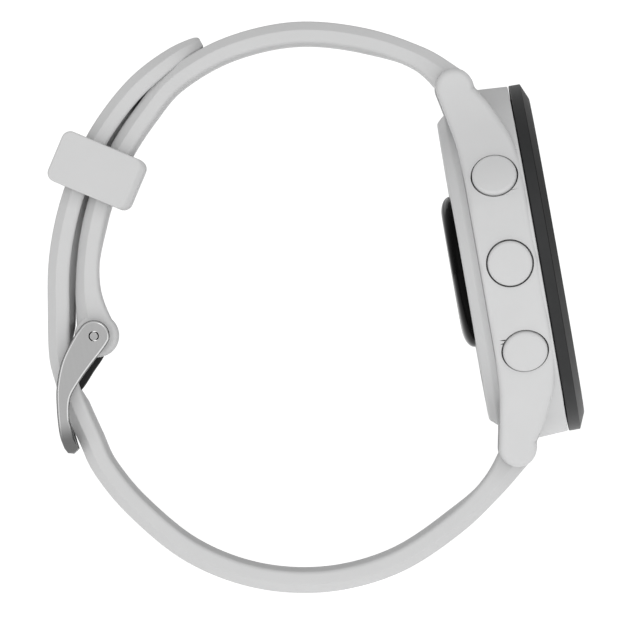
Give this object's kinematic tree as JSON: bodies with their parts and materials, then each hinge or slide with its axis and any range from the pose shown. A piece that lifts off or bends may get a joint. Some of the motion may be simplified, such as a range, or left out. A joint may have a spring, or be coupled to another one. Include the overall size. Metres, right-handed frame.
{
  "type": "gps running watch",
  "caption": "Round sports watch closed on its silicone strap, with side buttons, an optical sensor on the back, and a buckle with a tongue and a sliding keeper.",
  "frame": {"origin": "middle of the sensor window's flat back face, which rests on the wrist", "axes": "+X out through the face, +Y to 3 o'clock, +Z to 12 o'clock"},
  "size_m": [0.0624, 0.0433, 0.0685],
  "materials": {
    "case_polymer": "satin, fine moulded",
    "bezel": "satin dark slate",
    "lens": "polished",
    "sensor_window": "gloss black",
    "silicone": "matt, soft touch",
    "steel": "satin",
    "dark_steel": "dark satin",
    "black_plastic": "matt",
    "seal": "matt",
    "board": "lacquered board",
    "copper": "plain",
    "gold": "plated",
    "cell": "foil pouch",
    "display": "smooth",
    "light_source": "clear resin"
  },
  "bodies": {
    "case": {"back_cover": "case_polymer", "back_gasket": "seal", "back_screw_1": "steel", "back_screw_2": "steel", "back_screw_3": "steel", "back_screw_4": "steel", "battery": "cell", "bezel_ring": "bezel", "buckle_pin": "steel", "button_switch_1": "black_plastic", "button_switch_2": "black_plastic", "button_switch_3": "black_plastic", "button_switch_4": "black_plastic", "button_switch_5": "black_plastic", "buzzer": "gold", "case_shell": "case_polymer", "charge_pin_1": "gold", "charge_pin_2": "gold", "charge_pin_3": "gold", "charge_pin_4": "gold", "charge_socket": "black_plastic", "display_flex": "copper", "display_panel": "display", "front_lens": "lens", "gnss_antenna": "copper", "inner_frame": "black_plastic", "lens_gasket": "seal", "lower_spring_bar": "steel", "main_board": "board", "photodiode_1": "display", "photodiode_2": "display", "sensor_board": "board", "sensor_led_1": "light_source", "sensor_led_2": "light_source", "sensor_led_3": "light_source", "sensor_window": "sensor_window", "strap_lower": "silicone", "strap_upper": "silicone", "upper_spring_bar": "steel", "vibration_motor": "steel"},
    "light_button": {"button_light": "case_polymer", "button_seal_1": "seal"},
    "up_button": {"button_up": "case_polymer", "button_seal_2": "seal"},
    "down_button": {"button_down": "case_polymer", "button_seal_3": "seal"},
    "start_button": {"button_start": "case_polymer", "button_seal_4": "seal"},
    "back_button": {"button_back": "case_polymer", "button_seal_5": "seal"},
    "keeper": {"strap_keeper": "silicone"},
    "buckle": {"buckle_frame": "steel"},
    "tongue": {"buckle_tongue": "dark_steel"},
    "upper_release": {"upper_bar_plunger": "steel"},
    "lower_release": {"lower_bar_plunger": "steel"}
  },
  "joints": [
    {"name": "light_press", "type": "slide", "parent": "case", "child": "light_button", "axis": [0, 0.866, -0.5], "range_m": [0, 0.0006], "stiffness_N_per_m": 1500},
    {"name": "up_press", "type": "slide", "parent": "case", "child": "up_button", "axis": [0, 1, 0], "range_m": [0, 0.0006], "stiffness_N_per_m": 1500},
    {"name": "down_press", "type": "slide", "parent": "case", "child": "down_button", "axis": [0, 0.866, 0.5], "range_m": [0, 0.0006], "stiffness_N_per_m": 1500},
    {"name": "start_press", "type": "slide", "parent": "case", "child": "start_button", "axis": [0, -0.866, -0.5], "range_m": [0, 0.0006], "stiffness_N_per_m": 1500},
    {"name": "back_press", "type": "slide", "parent": "case", "child": "back_button", "axis": [0, -0.866, 0.5], "range_m": [0, 0.0006], "stiffness_N_per_m": 1500},
    {"name": "upper_bar_slide", "type": "slide", "parent": "case", "child": "upper_release", "axis": [0, 1, 0], "range_m": [0, 0.001], "stiffness_N_per_m": 400},
    {"name": "lower_bar_slide", "type": "slide", "parent": "case", "child": "lower_release", "axis": [0, 1, 0], "range_m": [0, 0.001], "stiffness_N_per_m": 400},
    {"name": "keeper_slide", "type": "hinge", "parent": "case", "child": "keeper", "pos_m": [-0.01072, 0, 0.00082], "axis": [0, 1, 0], "range_deg": [-12, 6]},
    {"name": "buckle_swing", "type": "hinge", "parent": "case", "child": "buckle", "pos_m": [-0.04351, 0, 0.00007], "axis": [0, 1, 0], "range_deg": [0, 3]},
    {"name": "tongue_lift", "type": "hinge", "parent": "buckle", "child": "tongue", "pos_m": [-0.04351, 0, 0.00007], "axis": [0, 1, 0], "range_deg": [0, 2]}
  ]
}
